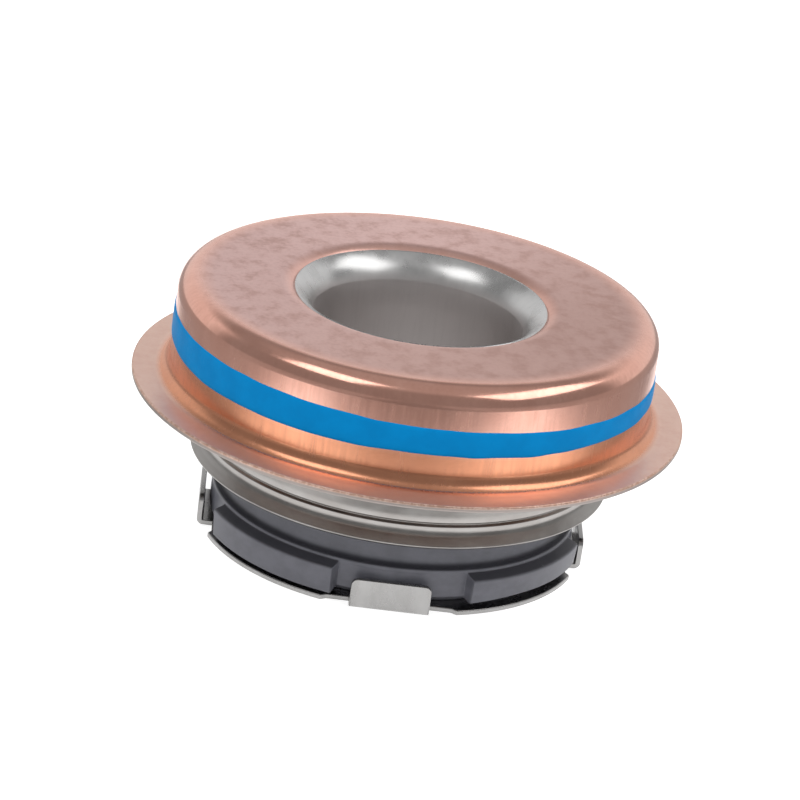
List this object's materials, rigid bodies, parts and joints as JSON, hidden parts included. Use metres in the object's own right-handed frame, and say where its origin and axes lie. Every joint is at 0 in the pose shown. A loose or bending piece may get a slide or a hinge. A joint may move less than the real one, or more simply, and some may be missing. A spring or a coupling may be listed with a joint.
{
  "type": "component mechanical seal",
  "caption": "Unitised mechanical face seal for a pump shaft, with a flanged press-in case, sprung bellows and a sleeve-mounted rotating ring.",
  "frame": {"origin": "centre of the bottom face of the sleeve's driving flange, on the shaft axis", "axes": "+Z along the shaft towards the closed side of the case; one driving tab faces -Y"},
  "size_m": [0.042, 0.042, 0.0196],
  "materials": {
    "copper_case": "satin copper, drawn and tumbled",
    "sealant": "satin dried sealant film",
    "bellows_rubber": "matt moulded",
    "spring_steel_sheet": "drawn stainless sheet",
    "spring_wire": "drawn wire",
    "stainless_satin": "satin drawn stainless",
    "silicon_carbide": "ground, lapped face",
    "cup_rubber": "satin moulded",
    "stainless_bright": "bright drawn stainless"
  },
  "bodies": {
    "housing": {"case": "copper_case", "sealant_band": "sealant", "bellows": "bellows_rubber", "ferrule": "spring_steel_sheet", "spring": "spring_wire"},
    "floating": {"spring_cup": "spring_steel_sheet", "bellows_holder": "stainless_satin", "slide_ring": "silicon_carbide"},
    "rotor": {"mating_ring": "silicon_carbide", "rubber_cup": "cup_rubber", "shaft_sleeve": "stainless_bright"}
  },
  "joints": [
    {"name": "spring_travel", "type": "slide", "parent": "housing", "child": "floating", "axis": [0, 0, 1], "range_m": [0, 0.0025], "stiffness_N_per_m": 900, "springref_m": -0.01, "deforming": ["bellows", "spring"]},
    {"name": "shaft_turn", "type": "hinge", "parent": "floating", "child": "rotor", "pos_m": [0, 0, 0], "axis": [0, 0, 1], "continuous": true}
  ]
}
